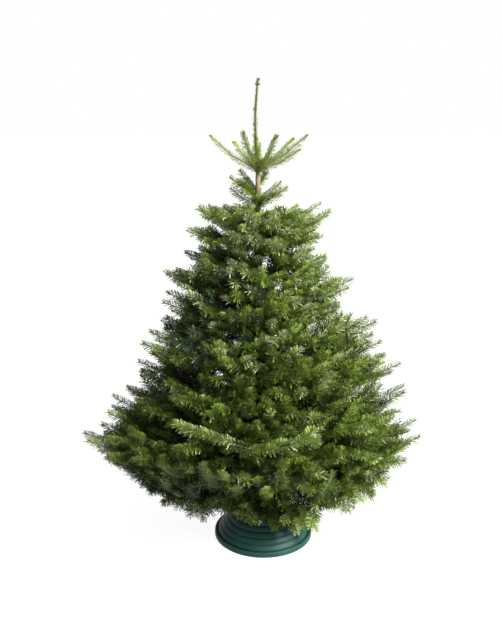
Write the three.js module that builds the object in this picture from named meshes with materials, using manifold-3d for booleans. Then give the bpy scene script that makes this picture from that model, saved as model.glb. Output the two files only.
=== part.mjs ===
// A cut fir grown as a Christmas tree, standing in a ribbed plastic stand.
// Millimetres, +Z up. The origin is the middle of the stand's flat underside, -Y is the front.
//
// The trunk runs whole from its flat cut in the stand's well to the tip of the leader.
// The crown is built in tiers from the lowest boughs up. A tier is a ring of fan-shaped
// masses of foliage, one to each sector, each with three uneven fingers on its outer edge.
// Masses of one tier keep to their own sectors, and tiers keep to their own side of the
// surface halfway between them, so no two masses meet, and all of them stop at the trunk.
// In the three lowest tiers the boughs are bare near the trunk and end where they enter
// their masses. Above them the needles start at the trunk. Over the tiers come a tuft of
// short shoots, the whorl of single shoots below the leader, and the leader itself.
import * as THREE from "three";
import { mergeVertices } from "three/addons/utils/BufferGeometryUtils.js";
import Module from "manifold-3d";

// ---------------------------------------------------------------- sizes
const TREE_TOP = 1800; // tip of the leader above the floor
const GAP = 0.3; // between faces that meet

// stand: a ribbed cone round a water well, open underneath between the two
const STAND_R = 199; // outside of the foot ring
const STAND_LIP_H = 20; // height of the foot ring
const STAND_LIP_W = 9; // width of the foot ring's top
const STAND_CONE_R0 = 183; // foot of the ribbed cone
const STAND_CONE_Z0 = 17;
const STAND_CONE_R1 = 98; // top of the ribbed cone
const STAND_CONE_Z1 = 140;
const STAND_RIBS = 6;
const STAND_RIB_OUT = 5.5; // how far a rib's nose stands out
const STAND_WALL = 4;
const COLLAR_R = 99; // outside of the collar that holds the screws
const COLLAR_H = 24;
const WELL_R_TOP = 84;
const WELL_R_FLOOR = 70;
const WELL_FLOOR = 6; // thickness of the well's floor
const STAND_SEGMENTS = 30;

// clamp screws
const SCREWS = 3;
const SCREW_R = 4;
const SCREW_Z = STAND_CONE_Z1 + COLLAR_H / 2;
const SCREW_OUT = 128; // where the cross bar sits
const SCREW_BAR_R = 3.2;
const SCREW_BAR = 38;

// trunk
const TRUNK_FOOT = WELL_FLOOR + GAP; // height of the flat cut
const TRUNK_R = [
  // [height, radius]: flare at the cut, taper, leader, terminal bud
  [TRUNK_FOOT, 37],
  [60, 34],
  [160, 31.5],
  [330, 28],
  [500, 24.5],
  [660, 21.5],
  [820, 18.5],
  [980, 16],
  [1130, 13.8],
  [1255, 12],
  [1385, 9.5],
  [1478, 8.2],
  [1494, 7.2],
  [1640, 4.6],
  [1768, 3.9],
  [1780, 5.4],
  [TREE_TOP - 6, 4.2],
  [TREE_TOP, 1.6],
];
const TRUNK_SIDES = 10;
const LEAN = -0.0158; // sideways lean of the axis for each unit of height
const SWAY = 5; // slow bend of the axis
const LEADER_Z = 1490; // where the last year's leader starts
const LEADER_BOW = 9; // how far it bows to the left on its way up
const TRUNK_CLEAR = 1.2; // between the trunk's faces and the masses round it

// crown tiers, from the ground up: height on the trunk, height at the tips, reach left (-X)
// and right (+X), bow of the boughs, number of masses, azimuth of the first, where the
// foliage starts (0 for at the trunk), half thickness by the trunk and at the tips; for the
// low tiers also how much higher the tips are at the front, and their reach there as a share
const TIERS = [
  { name: "skirt", z: 222, tip: 112, left: 430, right: 440, bow: 18, n: 4, first: 180, inner: 150, mid: 46, end: 20, lift: 95, front: 0.68 },
  { name: "tier_1", z: 282, tip: 272, left: 620, right: 556, bow: 14, n: 4, first: 210, inner: 140, mid: 60, end: 24, lift: 85, front: 0.86 },
  { name: "tier_2", z: 388, tip: 416, left: 724, right: 606, bow: 0, n: 4, first: 180, inner: 120, mid: 74, end: 26, lift: 50, front: 0.93 },
  { name: "tier_3", z: 520, tip: 548, left: 612, right: 614, bow: -8, n: 4, first: 150, inner: 0, mid: 84, end: 38, lift: 15 },
  { name: "tier_4", z: 660, tip: 702, left: 520, right: 552, bow: -8, n: 4, first: 180, inner: 0, mid: 90, end: 44 },
  { name: "tier_5", z: 808, tip: 850, left: 455, right: 462, bow: -8, n: 4, first: 210, inner: 0, mid: 90, end: 46 },
  { name: "tier_6", z: 950, tip: 1005, left: 372, right: 345, bow: -8, n: 3, first: 180, inner: 0, mid: 84, end: 44 },
  { name: "tier_7", z: 1082, tip: 1140, left: 318, right: 292, bow: -8, n: 3, first: 240, inner: 0, mid: 74, end: 40 },
  { name: "tier_8", z: 1225, tip: 1305, left: 262, right: 262, bow: -8, n: 3, first: 180, inner: 0, mid: 60, end: 38 },
];
TIERS.forEach((tier, t) => (tier.t = t));
const FRONT_BACK = 0.95; // reach to the front and back beside that to the sides
const TIER_GAP = 7; // least gap between two tiers
const SIDE_GAP = 1.4; // half the gap between two masses of a tier
const NOTCH = 0.17; // depth of the notches between finger tips
const SHOULDER = 0.1; // how far the outline falls back towards a mass's sides
const WAVE = 24; // rise and fall of the tips round a tier
const UNEVEN = 13; // roughness of the masses' faces
const RIM = 0.9; // how far out the upper and lower faces go, beside the edge between them
const OUT_STEPS = [0, 0.38, 0.74, 1];
const ROUND_STEPS = 6;

// boughs of the three lowest tiers
const BOUGH_R0 = 10.5;
const BOUGH_R1 = 7.5;
const BOUGH_SIDES = 7;

// top whorl of the leader: azimuth, horizontal reach, height of the tip
const WHORL_Z = 1486;
const WHORL = [
  [178, 162, 1600],
  [128, 131, 1574],
  [240, 88, 1615],
  [304, 129, 1607],
  [352, 186, 1605],
  [34, 170, 1584],
  [14, 165, 1548],
  [84, 110, 1565],
];
const SHOOT_R = 16; // half the width of a needled shoot

// tuft of short shoots between the top whorl and the crown
const TUFT_Z = 1392;
const TUFT = { arms: 7, reach: 100, rise: 62, half: 15, first: 196 };

// ---------------------------------------------------------------- helpers
const wasm = await Module();
wasm.setup();
const RAD = Math.PI / 180;

// A fixed number from 0 to 1 for each pair of whole numbers.
function dice(i, j = 0) {
  let x = (Math.imul(i + 1, 0x9e3779b1) ^ Math.imul(j + 7, 0x85ebca6b)) >>> 0;
  x ^= x >>> 16;
  x = Math.imul(x, 0x7feb352d) >>> 0;
  x ^= x >>> 15;
  x = Math.imul(x, 0x846ca68b) >>> 0;
  x ^= x >>> 16;
  return (x >>> 0) / 4294967296;
}

function along(table, at) {
  if (at <= table[0][0]) return table[0][1];
  for (let i = 1; i < table.length; i++)
    if (at <= table[i][0]) {
      const [a, b] = [table[i - 1], table[i]];
      return b[1] === a[1] ? a[1] : a[1] + ((b[1] - a[1]) * (at - a[0])) / (b[0] - a[0]);
    }
  return table[table.length - 1][1];
}

const trunkRadius = (z) => along(TRUNK_R, z);
const leaderBow = (z) => -LEADER_BOW * Math.sin(Math.PI * Math.min(1, Math.max(0, (z - LEADER_Z) / (TREE_TOP - LEADER_Z))));
const axisX = (z) => LEAN * z + SWAY * Math.sin((z / TREE_TOP) * Math.PI * 2.2) * (z / TREE_TOP) + leaderBow(z);
const axisY = (z) => SWAY * 0.8 * Math.sin((z / TREE_TOP) * Math.PI * 1.6 + 0.4) * (z / TREE_TOP);

// Moves every vertex of a geometry.
function bend(geometry, fn) {
  const p = geometry.getAttribute("position");
  for (let i = 0; i < p.count; i++) {
    const [x, y, z] = fn(p.getX(i), p.getY(i), p.getZ(i));
    p.setXYZ(i, x, y, z);
  }
  geometry.computeVertexNormals();
  return geometry;
}

// x and y are measured from the trunk's axis before, and from the origin after.
const onAxis = (g) => bend(g, (x, y, z) => [x + axisX(z), y + axisY(z), z]);

function solid(geometry) {
  const g = (geometry.index ? geometry.toNonIndexed() : geometry).clone();
  for (const name of Object.keys(g.attributes)) if (name !== "position") g.deleteAttribute(name);
  const m = mergeVertices(g, 1e-3);
  const made = new wasm.Manifold(
    new wasm.Mesh({
      numProp: 3,
      vertProperties: new Float32Array(m.attributes.position.array),
      triVerts: new Uint32Array(m.index.array),
    }),
  );
  if (made.volume() < 0) throw new Error("inside out");
  return made;
}

function geometryOf(made) {
  const m = made.getMesh();
  const v = new Float32Array(m.numVert * 3);
  for (let i = 0; i < m.numVert; i++) v.set(m.vertProperties.subarray(i * m.numProp, i * m.numProp + 3), i * 3);
  const g = new THREE.BufferGeometry();
  g.setAttribute("position", new THREE.BufferAttribute(v, 3));
  g.setIndex(new THREE.BufferAttribute(new Uint32Array(m.triVerts), 1));
  g.computeVertexNormals();
  return g;
}

// The largest body of a solid, so that a cut leaves no crumbs.
function largest(made) {
  return made.decompose().sort((a, b) => b.volume() - a.volume())[0];
}

// A round profile of [radius, height] points turned about Z.
function turned(points, sides) {
  const g = new THREE.LatheGeometry(
    points.map(([r, z]) => new THREE.Vector2(r, z)),
    sides,
  );
  return g.rotateX(Math.PI / 2);
}

// A limb with radii r0 and r1 along a straight line between two points.
function limb(from, to, r0, r1, sides, steps = 1) {
  const line = new THREE.Vector3().subVectors(to, from);
  const g = new THREE.CylinderGeometry(r1, r0, line.length(), sides, steps);
  g.translate(0, line.length() / 2, 0);
  g.applyQuaternion(new THREE.Quaternion().setFromUnitVectors(new THREE.Vector3(0, 1, 0), line.normalize()));
  return g.translate(from.x, from.y, from.z);
}

const root = new THREE.Group();
const MATERIALS = {
  stand_plastic: new THREE.MeshStandardMaterial({ color: 0x1f4a49, roughness: 0.42, metalness: 0 }),
  screw_steel: new THREE.MeshStandardMaterial({ color: 0x9a9c9c, roughness: 0.35, metalness: 1 }),
  bark: new THREE.MeshStandardMaterial({ color: 0x6a5643, roughness: 0.9, metalness: 0 }),
  foliage: new THREE.MeshStandardMaterial({ color: 0x4a6324, roughness: 0.55, metalness: 0 }),
};
function add(name, geometry, material) {
  const mesh = new THREE.Mesh(geometry, MATERIALS[material]);
  mesh.name = name;
  root.add(mesh);
  return mesh;
}

// ---------------------------------------------------------------- trunk
function trunkSolid(grow) {
  const points = [[0, TRUNK_FOOT], ...TRUNK_R.map(([z, r]) => [r + grow, z]), [0, TREE_TOP + grow]];
  return solid(onAxis(turned(points, TRUNK_SIDES)));
}
const trunk = trunkSolid(0);
const trunkRoom = trunkSolid(GAP);
add("trunk", geometryOf(trunk), "bark");

// ---------------------------------------------------------------- stand
const ribSlope = Math.atan2(STAND_CONE_Z1 - STAND_CONE_Z0, STAND_CONE_R0 - STAND_CONE_R1);
function coneAt(t, out = 0) {
  return [
    STAND_CONE_R0 + (STAND_CONE_R1 - STAND_CONE_R0) * t + out * Math.sin(ribSlope),
    STAND_CONE_Z0 + (STAND_CONE_Z1 - STAND_CONE_Z0) * t + out * Math.cos(ribSlope),
  ];
}
const standProfile = [
  [0, 0],
  [WELL_R_FLOOR + 1, 0],
  [WELL_R_FLOOR + STAND_WALL, 3],
  [WELL_R_TOP + STAND_WALL - 3, STAND_CONE_Z1 - 14],
  [STAND_CONE_R1 - 5, STAND_CONE_Z1 - 10],
  [STAND_CONE_R0 - STAND_WALL - 2, STAND_CONE_Z0 - 6],
  [STAND_R - 5, 8],
  [STAND_R - 4, 0],
  [STAND_R, 0],
  [STAND_R - 0.5, STAND_LIP_H - 3],
  [STAND_R - 3, STAND_LIP_H],
  [STAND_R - STAND_LIP_W, STAND_LIP_H],
  [STAND_R - STAND_LIP_W - 3, STAND_CONE_Z0 - 1],
  [STAND_CONE_R0, STAND_CONE_Z0],
];
for (let k = 0; k < STAND_RIBS; k++) {
  const t = (s) => (k + s) / STAND_RIBS;
  standProfile.push(coneAt(t(0.3), STAND_RIB_OUT), coneAt(t(0.75), STAND_RIB_OUT * 0.8), coneAt(t(1)));
}
standProfile.push(
  [COLLAR_R, STAND_CONE_Z1 + 1],
  [COLLAR_R, STAND_CONE_Z1 + COLLAR_H - 3],
  [COLLAR_R - 3, STAND_CONE_Z1 + COLLAR_H],
  [WELL_R_TOP + 1, STAND_CONE_Z1 + COLLAR_H],
  [WELL_R_TOP, STAND_CONE_Z1 + COLLAR_H - 2],
  [WELL_R_FLOOR, WELL_FLOOR],
  [0, WELL_FLOOR],
);
let stand = solid(turned(standProfile, STAND_SEGMENTS));

const screws = [];
for (let i = 0; i < SCREWS; i++) {
  const a = (90 + (i * 360) / SCREWS) * RAD;
  const at = (r, z = SCREW_Z) => new THREE.Vector3(r * Math.cos(a), r * Math.sin(a), z);
  // the shaft reaches in to the trunk, which stands a little off the stand's middle here
  let reach = 0;
  const centre = new THREE.Vector2(axisX(SCREW_Z), axisY(SCREW_Z));
  reach = centre.x * Math.cos(a) + centre.y * Math.sin(a) + trunkRadius(SCREW_Z - SCREW_R) + GAP;
  const shaft = solid(limb(at(reach), at(SCREW_OUT), SCREW_R, SCREW_R, 12));
  const side = new THREE.Vector3(-Math.sin(a), Math.cos(a), 0);
  const mid = at(SCREW_OUT);
  const bar = solid(
    limb(
      mid.clone().addScaledVector(side, -SCREW_BAR / 2),
      mid.clone().addScaledVector(side, SCREW_BAR / 2),
      SCREW_BAR_R,
      SCREW_BAR_R,
      8,
    ),
  );
  const room = solid(limb(at(60), at(SCREW_OUT - 20), SCREW_R + GAP, SCREW_R + GAP, 12));
  stand = stand.subtract(room);
  screws.push(shaft.add(bar));
}
add("stand", geometryOf(largest(stand)), "stand_plastic");
screws.forEach((s, i) => add("clamp_screw_" + (i + 1), geometryOf(s), "screw_steel"));

// ---------------------------------------------------------------- crown
// 1 straight to the front, falling to 0 at the sides and behind.
const frontness = (azimuth) => Math.max(0, -Math.sin(azimuth)) ** 2;

function reach(tier, azimuth) {
  const c = Math.cos(azimuth);
  const both = (tier.left + tier.right) / 2;
  const full = both * (FRONT_BACK + (1 - FRONT_BACK) * c * c) + ((tier.right - tier.left) / 2) * c;
  return full * (1 - (1 - (tier.front || 1)) * frontness(azimuth));
}

// Height of a tier's middle surface, r from the trunk's axis.
function middle(tier, r, azimuth) {
  const full = reach(tier, azimuth);
  const u = Math.min(1, r / full);
  const wave = WAVE * u * Math.sin(3 * azimuth + 2.1 * tier.t);
  const tip = tier.tip + (tier.lift || 0) * frontness(azimuth);
  return tier.z + (tip - tier.z) * u + tier.bow * 4 * u * (1 - u) + wave + Math.max(0, r - full) * 0.2;
}

// Half thickness of a mass, u from 0 at the trunk to 1 at the tip.
function halfThick(tier, u) {
  const rise = Math.min(1, 0.6 + u * 1.2);
  const fall = u < 0.5 ? 1 : 1 - (1 - tier.end / tier.mid) * ((u - 0.5) / 0.5) ** 1.5;
  return tier.mid * rise * fall;
}

function halfway(t, r, azimuth) {
  if (t < 0) return -Infinity;
  if (t >= TIERS.length - 1) return Infinity;
  return (middle(TIERS[t], r, azimuth) + middle(TIERS[t + 1], r, azimuth)) / 2;
}

// The lowest that foliage hangs, r from the stand's middle: over the cone, then over the floor.
function clearOfStand(r) {
  const share = (STAND_CONE_R0 - r) / (STAND_CONE_R0 - STAND_CONE_R1);
  const cone = STAND_CONE_Z0 + share * (STAND_CONE_Z1 - STAND_CONE_Z0);
  return r < STAND_R + 16 ? Math.max(STAND_LIP_H, cone) + 16 : 14;
}

// One mass: a box of OUT_STEPS by ROUND_STEPS by two layers, bent into a fan.
function fan(tier, centre, seed) {
  const outs = OUT_STEPS.length - 1;
  const half = (180 / tier.n) * RAD;
  return bend(new THREE.BoxGeometry(1, 1, 1, outs, ROUND_STEPS, 2), (x, y, z) => {
    const i = Math.round((x + 0.5) * outs);
    const j = Math.round((y + 0.5) * ROUND_STEPS);
    const layer = Math.round(z * 2); // 1 the upper face, 0 the edge, -1 the lower face
    const v = (2 * j) / ROUND_STEPS - 1; // across the mass, -1 to 1
    const finger = (1 + Math.cos(v * 3 * Math.PI)) / 2; // 1 on a finger, 0 in a notch
    const inner = tier.inner || trunkRadius(tier.z - tier.mid) / Math.cos(Math.PI / TRUNK_SIDES) + TRUNK_CLEAR;
    const full = reach(tier, centre + v * half);
    const uneven = Math.abs(v) < 0.1 ? 0 : 0.07 * dice(seed, j);
    const out = full * (1 - SHOULDER * Math.abs(v) ** 2) * (1 - NOTCH * (1 - finger)) * (1 - uneven);
    const r = inner + (out * (layer && i === outs ? RIM : 1) - inner) * OUT_STEPS[i];
    // the fan draws together a little towards its tips
    const azimuth = centre + v * (1 - 0.06 * OUT_STEPS[i]) * (half - Math.asin(SIDE_GAP / r));
    const c = middle(tier, r, azimuth);
    const thick = halfThick(tier, Math.min(1, r / full)) * (0.8 + 0.2 * finger);
    const rough = i ? UNEVEN * dice(seed + 3, i * 16 + j * 2 + (layer > 0 ? 1 : 0)) : 0;
    const roof = halfway(tier.t, r, azimuth) - TIER_GAP / 2 - rough;
    const floor = Math.max(halfway(tier.t - 1, r, azimuth) + TIER_GAP / 2, clearOfStand(r)) + rough;
    const top = Math.max(Math.min(c + thick - rough, roof), floor + 8);
    const bottom = Math.min(Math.max(c - thick + rough, floor), top - 8);
    const height = layer > 0 ? top : layer < 0 ? bottom : (top + bottom) / 2;
    return [r * Math.cos(azimuth), r * Math.sin(azimuth), height];
  });
}

// The bare part of a bough, from the trunk to its mass.
function bough(tier, centre) {
  const [from, to] = [trunkRadius(tier.z) * 0.4, tier.inner - GAP].map((r) => {
    const z = middle(tier, r, centre);
    return new THREE.Vector3(r * Math.cos(centre) + axisX(z), r * Math.sin(centre) + axisY(z), z);
  });
  return solid(limb(from, to, BOUGH_R0, BOUGH_R1, BOUGH_SIDES)).subtract(trunkRoom);
}

TIERS.forEach((tier, t) => {
  for (let m = 0; m < tier.n; m++) {
    const centre = (tier.first + (m * 360) / tier.n) * RAD;
    const letter = String.fromCharCode(97 + m);
    const mass = solid(onAxis(fan(tier, centre, 40 * (t + 1) + 7 * m)));
    if (tier.inner) add(tier.name + "_bough_" + letter, geometryOf(largest(bough(tier, centre).subtract(mass))), "bark");
    add(tier.name + "_mass_" + letter, geometryOf(mass), "foliage");
  }
});

// ---------------------------------------------------------------- top whorl and tuft
WHORL.forEach(([degrees, out, top], i) => {
  const a = degrees * RAD;
  const steps = [0.06, 0.16, 0.34, 0.9, 1];
  const g = new THREE.CylinderGeometry(1, 1, 1, 6, steps.length - 1);
  bend(g, (x, y, z) => {
    const k = Math.round((y + 0.5) * (steps.length - 1));
    const s = steps[k];
    const r = out * s;
    const h = WHORL_Z + (top - WHORL_Z) * s - 8 * Math.sin(Math.PI * s);
    const slope = Math.atan2(top - WHORL_Z, out);
    // a shoot is no wider than half the way round to its neighbours
    const room = Math.min(...WHORL.map(([d], j) => (j === i ? 90 : Math.abs(((d - degrees + 540) % 360) - 180)))) / 2;
    const tip = s > 0.95 ? 0.62 : 1;
    const wide = Math.min(SHOOT_R, (r * Math.sin(room * RAD) - GAP) * 0.93) * tip;
    const up = Math.min(SHOOT_R * 0.85, 0.3 * r + 2) * tip;
    // x across the shoot, z square to it
    const across = x * wide;
    const above = z * up;
    const rr = r - above * Math.sin(slope);
    const px = rr * Math.cos(a) - across * Math.sin(a);
    const py = rr * Math.sin(a) + across * Math.cos(a);
    return [px, py, h + above * Math.cos(slope)];
  });
  let made = solidEither(onAxis(g)).subtract(trunkRoom);
  add("top_shoot_" + (i + 1), geometryOf(largest(made)), "foliage");
});

{
  const spokes = TUFT.arms * 2;
  const g = new THREE.CylinderGeometry(1, 1, 1, spokes, 3);
  const outs = [0.35, 0.75, 1];
  // a star of seven arms: the cylinder's side is folded out level by level
  bend(g, (x, y, z) => {
    const level = Math.round((y + 0.5) * 3); // 0 underside edge, 1 and 2 the rim, 3 upper edge
    const flat = Math.hypot(x, z) < 1e-6;
    const a = Math.atan2(z, x);
    const k = Math.round((a / (2 * Math.PI)) * spokes);
    const arm = ((k % 2) + 2) % 2 === 0;
    const full = TUFT.reach * (arm ? 0.86 + 0.14 * dice(91, k + 20) : 0.42);
    const s = flat ? 0 : level === 0 || level === 3 ? 0.5 : 1;
    const r = full * s;
    const turn = a + TUFT.first * RAD;
    const c = TUFT_Z + TUFT.rise * (r / TUFT.reach);
    const half = TUFT.half * (s === 1 ? 0.55 : 1);
    const h = level >= 2 ? c + half : c - half;
    return [r * Math.cos(turn), -r * Math.sin(turn), h];
  });
  let made = solidEither(onAxis(g)).subtract(trunkRoom);
  add("tuft", geometryOf(largest(made)), "foliage");
}

// A bent cylinder can come out with its faces turned in, which a swap of two axes puts right.
function solidEither(g) {
  try {
    return solid(g);
  } catch (e) {
    if (!String(e).includes("inside out")) throw e;
    const p = g.index;
    for (let i = 0; i < p.count; i += 3) {
      const a = p.getX(i + 1);
      p.setX(i + 1, p.getX(i + 2));
      p.setX(i + 2, a);
    }
    return solid(g);
  }
}

export default root;
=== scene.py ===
# A cut fir grown as a Christmas tree in a ribbed plastic stand. Metres, +Z up, -Y the front.
# Boughs, twigs and needles are grown from the trunk by a seeded branching rule and stand for the CAD's masses.
# The stand, its clamp screws and the bark are finer meshes at the CAD's sizes.
import math
import random

import bpy
import numpy as np
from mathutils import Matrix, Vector


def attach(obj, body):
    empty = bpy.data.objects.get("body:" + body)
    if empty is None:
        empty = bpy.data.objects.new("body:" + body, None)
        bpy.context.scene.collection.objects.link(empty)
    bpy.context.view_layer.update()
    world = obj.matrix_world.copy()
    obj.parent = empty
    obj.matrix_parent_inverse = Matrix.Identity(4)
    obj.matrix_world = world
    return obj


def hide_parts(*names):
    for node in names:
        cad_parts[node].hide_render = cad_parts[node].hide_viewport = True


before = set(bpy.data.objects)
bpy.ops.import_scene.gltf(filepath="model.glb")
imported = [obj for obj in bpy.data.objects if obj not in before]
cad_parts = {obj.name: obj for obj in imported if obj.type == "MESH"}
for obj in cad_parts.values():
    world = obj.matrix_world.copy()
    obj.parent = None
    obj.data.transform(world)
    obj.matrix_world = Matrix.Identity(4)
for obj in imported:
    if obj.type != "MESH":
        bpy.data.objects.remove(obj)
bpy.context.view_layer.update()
scene = bpy.context.scene

# ---------------------------------------------------------------- sizes shared with the CAD model
TOP = 1.800
LEAN, SWAY = -0.0158, 0.005
TRUNK_R = [
    (0.0063, 0.037), (0.060, 0.034), (0.160, 0.0315), (0.330, 0.028), (0.500, 0.0245), (0.660, 0.0215),
    (0.820, 0.0185), (0.980, 0.016), (1.130, 0.0138), (1.255, 0.012), (1.385, 0.0095), (1.478, 0.0082),
    (1.494, 0.0068), (1.640, 0.0038), (1.768, 0.0031), (1.780, 0.0050), (1.794, 0.0038), (1.800, 0.0016),
]
# name, height on the trunk, height at the tips, number of masses, azimuth of the first, where the foliage starts
TIERS = [
    ("skirt", 0.222, 0.112, 4, 180, 0.150, 0.018),
    ("tier_1", 0.282, 0.272, 4, 210, 0.140, 0.014),
    ("tier_2", 0.388, 0.412, 4, 180, 0.120, 0.000),
    ("tier_3", 0.520, 0.552, 4, 150, 0.0, -0.008),
    ("tier_4", 0.660, 0.702, 4, 180, 0.0, -0.008),
    ("tier_5", 0.808, 0.850, 4, 210, 0.0, -0.008),
    ("tier_6", 0.950, 1.005, 3, 180, 0.0, -0.008),
    ("tier_7", 1.082, 1.140, 3, 240, 0.0, -0.008),
    ("tier_8", 1.225, 1.305, 3, 180, 0.0, -0.008),
]
WHORL_Z, TUFT_Z = 1.486, 1.392
# azimuth, horizontal reach, height of the tip
WHORL = [
    (178, 0.162, 1.600), (128, 0.131, 1.574), (240, 0.088, 1.615), (304, 0.129, 1.607),
    (352, 0.186, 1.605), (34, 0.170, 1.584), (14, 0.165, 1.548), (84, 0.110, 1.565),
]


def lerp_table(table, at):
    return float(np.interp(at, [r[0] for r in table], [r[1] for r in table]))


def axis_at(z):
    bow = -0.009 * math.sin(math.pi * min(1.0, max(0.0, (z - 1.490) / (TOP - 1.490))))
    return np.array([
        LEAN * z + SWAY * math.sin(z / TOP * math.pi * 2.2) * z / TOP + bow,
        SWAY * 0.8 * math.sin(z / TOP * math.pi * 1.6 + 0.4) * z / TOP,
        z,
    ])


def trunk_radius(z):
    return lerp_table(TRUNK_R, z)


# The crown's tiers of tips from the bottom up: height and reach at the left (-X), height and reach at the right (+X),
# and how steeply the ends rise. Every bough, twig and limit of the crown is worked out from these.
CROWN = [
    (0.125, 0.425, 0.130, 0.445, -0.45),
    (0.205, 0.482, 0.215, 0.488, -0.20),
    (0.305, 0.615, 0.325, 0.530, 0.00),
    (0.360, 0.612, 0.375, 0.548, 0.20),
    (0.420, 0.722, 0.415, 0.572, 0.30),
    (0.500, 0.628, 0.474, 0.612, 0.55),
    (0.580, 0.598, 0.545, 0.530, 0.55),
    (0.650, 0.520, 0.630, 0.547, 0.50),
    (0.715, 0.497, 0.745, 0.522, 0.45),
    (0.830, 0.458, 0.815, 0.455, 0.50),
    (0.895, 0.395, 0.915, 0.420, 0.60),
    (0.985, 0.376, 0.968, 0.270, 0.45),
    (1.095, 0.376, 1.075, 0.330, 0.40),
    (1.180, 0.285, 1.150, 0.228, 0.45),
    (1.255, 0.284, 1.240, 0.208, 0.40),
    (1.338, 0.242, 1.325, 0.240, 0.60),
]
CROWN_TOP, CROWN_TILT = 1.350, 0.14  # the flat top of the crown comes down towards the back
# How much higher the tips of the low tiers are at the front, and their reach there as a share.
FRONT = [(0.095, 0.68), (0.085, 0.86), (0.050, 0.93), (0.015, 1.0)]
STAND_SIDES = (-0.05, 0.215)  # between these the lowest sprays hang before the stand
OPENING = (1.155, 1.250, 20)  # from and to which height, and how far round, no bough closes the front: the trunk shows
# Heights on the trunk where boughs leave it.
WHORLS = [0.222, 0.282, 0.388, 0.500, 0.620, 0.745, 0.865, 0.980, 1.085, 1.205, 1.255]
# The tuft below the top whorl: azimuth, reach, height on the trunk, height of the tip.
TUFT = [
    (172, 0.064, 1.405, 1.476), (196, 0.102, 1.392, 1.456), (222, 0.072, 1.378, 1.428), (184, 0.098, 1.352, 1.414),
    (8, 0.084, 1.372, 1.434), (346, 0.108, 1.358, 1.420), (60, 0.060, 1.420, 1.462), (296, 0.062, 1.345, 1.392),
    (118, 0.082, 1.372, 1.436), (92, 0.070, 1.350, 1.405), (262, 0.040, 1.352, 1.385),
]


def reach(z, azimuth):
    """How far the crown reaches from the middle of the stand at this height and on this side."""
    left = float(np.interp(z, [t[0] for t in CROWN], [t[1] for t in CROWN]))
    right = float(np.interp(z, [t[2] for t in CROWN], [t[3] for t in CROWN]))
    c = math.cos(azimuth)
    both = (left + right) / 2
    ahead = max(0.0, -math.sin(azimuth)) ** 2
    share = float(np.interp(z, [0.15, 0.30, 0.45, 0.60], [f[1] for f in FRONT]))
    return (both * (0.95 + 0.05 * c * c) + (right - left) / 2 * c) * (1 - (1 - share) * ahead)


def from_axis(z, azimuth):
    """The same, from the leaning trunk's axis."""
    return reach(z, azimuth) - float(axis_at(z)[0]) * math.cos(azimuth)


def drawn_in(z, heights):
    """How far the outline draws in between two tiers of tips."""
    for a, b in zip(heights, heights[1:]):
        if a <= z < b:
            t = (z - a) / (b - a)
            return 4 * t * (1 - t) * min(0.05, 0.5 * (b - a))
    return 0.0


LEFT_TIPS, RIGHT_TIPS = [t[0] for t in CROWN], [t[2] for t in CROWN]


def beyond(p):
    """Whether a twig that ends here stands out of the crown, past its reach at that height or over its top."""
    z = min(CROWN_TOP, max(0.06, p[2]))
    azimuth = math.atan2(p[1], p[0])
    c = math.cos(azimuth)
    notch = drawn_in(z, LEFT_TIPS) * (1 - c) / 2 + drawn_in(z, RIGHT_TIPS) * (1 + c) / 2
    return math.hypot(p[0], p[1]) > reach(z, azimuth) - notch + 0.012 or p[2] > CROWN_TOP - CROWN_TILT * p[1]


# ---------------------------------------------------------------- small vector helpers
def unit(v):
    n = math.sqrt(float(v @ v))
    return v / n if n > 1e-12 else v


def cross(a, b):
    return np.array([a[1] * b[2] - a[2] * b[1], a[2] * b[0] - a[0] * b[2], a[0] * b[1] - a[1] * b[0]])


def turn(v, k, angle):
    """v turned about the unit vector k."""
    c, s = math.cos(angle), math.sin(angle)
    return v * c + cross(k, v) * s + k * (float(k @ v) * (1 - c))


def polar(azimuth, r, z):
    return np.array([r * math.cos(azimuth), r * math.sin(azimuth), z])


UP = np.array([0.0, 0.0, 1.0])


def lowest(p):
    """How low a twig may hang here: over the stand's cone, then over the floor, higher towards the front."""
    r = math.hypot(p[0], p[1])
    ahead = max(0.0, -p[1])
    before_stand = STAND_SIDES[0] < p[0] < STAND_SIDES[1]
    edge = 0.95 * max(0.0, r - 0.357) + (0.045 if STAND_SIDES[1] < p[0] < STAND_SIDES[1] + 0.09 else 0.0)
    open_air = max(0.045, (0.062 + 0.45 * ahead if before_stand else 0.086 + 0.54 * ahead) - 0.20 * max(0.0, p[1])) + edge
    if r > 0.28:
        return open_air
    if r > 0.215:
        return max(0.060, open_air - 0.055)
    return max(0.060, 0.017 + (0.183 - r) / 0.085 * 0.123 + 0.034) if r > 0.10 else 0.19


def fringe(p):
    """The crown's lower edge is uneven: groups of twigs hang down with gaps between them."""
    return 0.036 * abs(math.sin(15 * math.atan2(p[1], p[0]) + 0.6)) - 0.025 if math.hypot(p[0], p[1]) > 0.28 else 0.0


# ---------------------------------------------------------------- growth
class Shoot:
    """One year's growth of a branch: a slightly bent line with the wood's radius at both ends."""

    __slots__ = ("p0", "p1", "bend", "up", "age", "order", "tier", "r0", "r1", "end", "tint", "radial", "needle", "dense", "spread", "young")

    def __init__(self, p0, p1, bend, up, age, order, tier, r0, r1, end, tint, radial=0.28, needle=0.026, dense=1.0, spread=1.0, young=False):
        self.p0, self.p1, self.bend, self.up = p0, p1, bend, up
        self.age, self.order, self.tier = age, order, tier
        self.r0, self.r1, self.end, self.tint = r0, r1, end, tint
        self.radial, self.needle, self.dense, self.spread, self.young = radial, needle, dense, spread, young


SHOOTS, BOUGHS = [], []
DENSE = (1.0, 0.60, 0.24, 0.10, 0.05)  # needles left on a shoot by its age in years


def lift_at(z):
    """How strongly twigs turn upwards: drooping at the bottom, rising towards the top."""
    return float(np.interp(z, [0.08, 0.18, 0.30, 0.45, 0.70, 1.00, 1.35], [-0.30, -0.16, 0.04, 0.22, 0.34, 0.36, 0.34]))


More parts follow.
